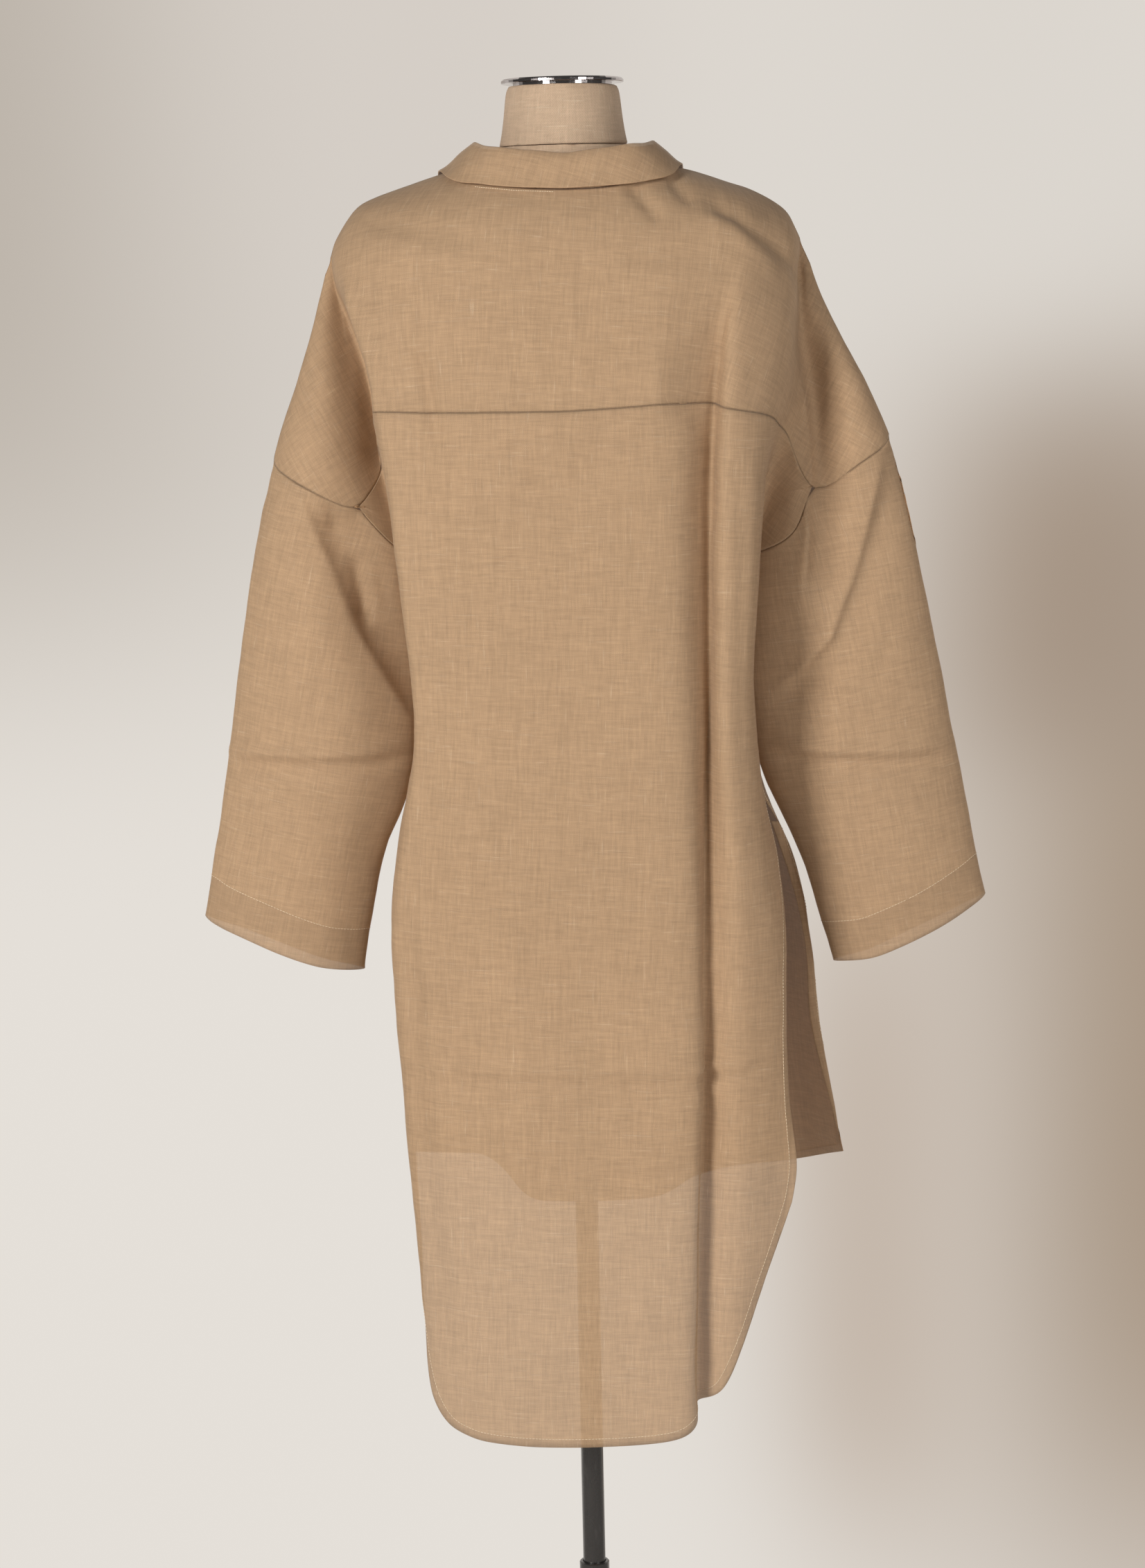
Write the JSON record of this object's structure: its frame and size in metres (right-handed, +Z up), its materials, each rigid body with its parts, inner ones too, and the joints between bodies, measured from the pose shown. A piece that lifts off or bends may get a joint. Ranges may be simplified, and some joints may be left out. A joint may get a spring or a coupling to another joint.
{
  "type": "tunic shirt on a dress form",
  "caption": "Long, loose linen tunic with a turned-down collar, dropped shoulders, wide sleeves and side slits, hung on a limbless dress form with a pole stand.",
  "frame": {"origin": "centre of the base disc's underside, on the floor, on the axis of the pole", "axes": "+Z up along the pole; +Y the way the tunic faces; +X its wearer's right; the back, at -Y, is the side that shows most"},
  "size_m": [0.7519, 0.32, 1.567],
  "materials": {
    "linen": "khaki plain-weave linen with uneven slubs, matt, thin enough to glow a little where the light is behind it",
    "canvas": "beige twill canvas, tight and matt",
    "chrome": "polished chrome plate",
    "stand_black": "gloss black paint"
  },
  "bodies": {
    "root": {"back_yoke": "linen", "back": "linen", "front": "linen", "sleeve_left": "linen", "sleeve_right": "linen", "collar_stand": "linen", "collar_leaf": "linen", "form_torso": "canvas", "form_neck": "canvas", "neck_cap": "chrome", "pole": "stand_black", "pole_tube": "stand_black", "base_hub": "stand_black", "base_disc": "stand_black"}
  },
  "joints": []
}
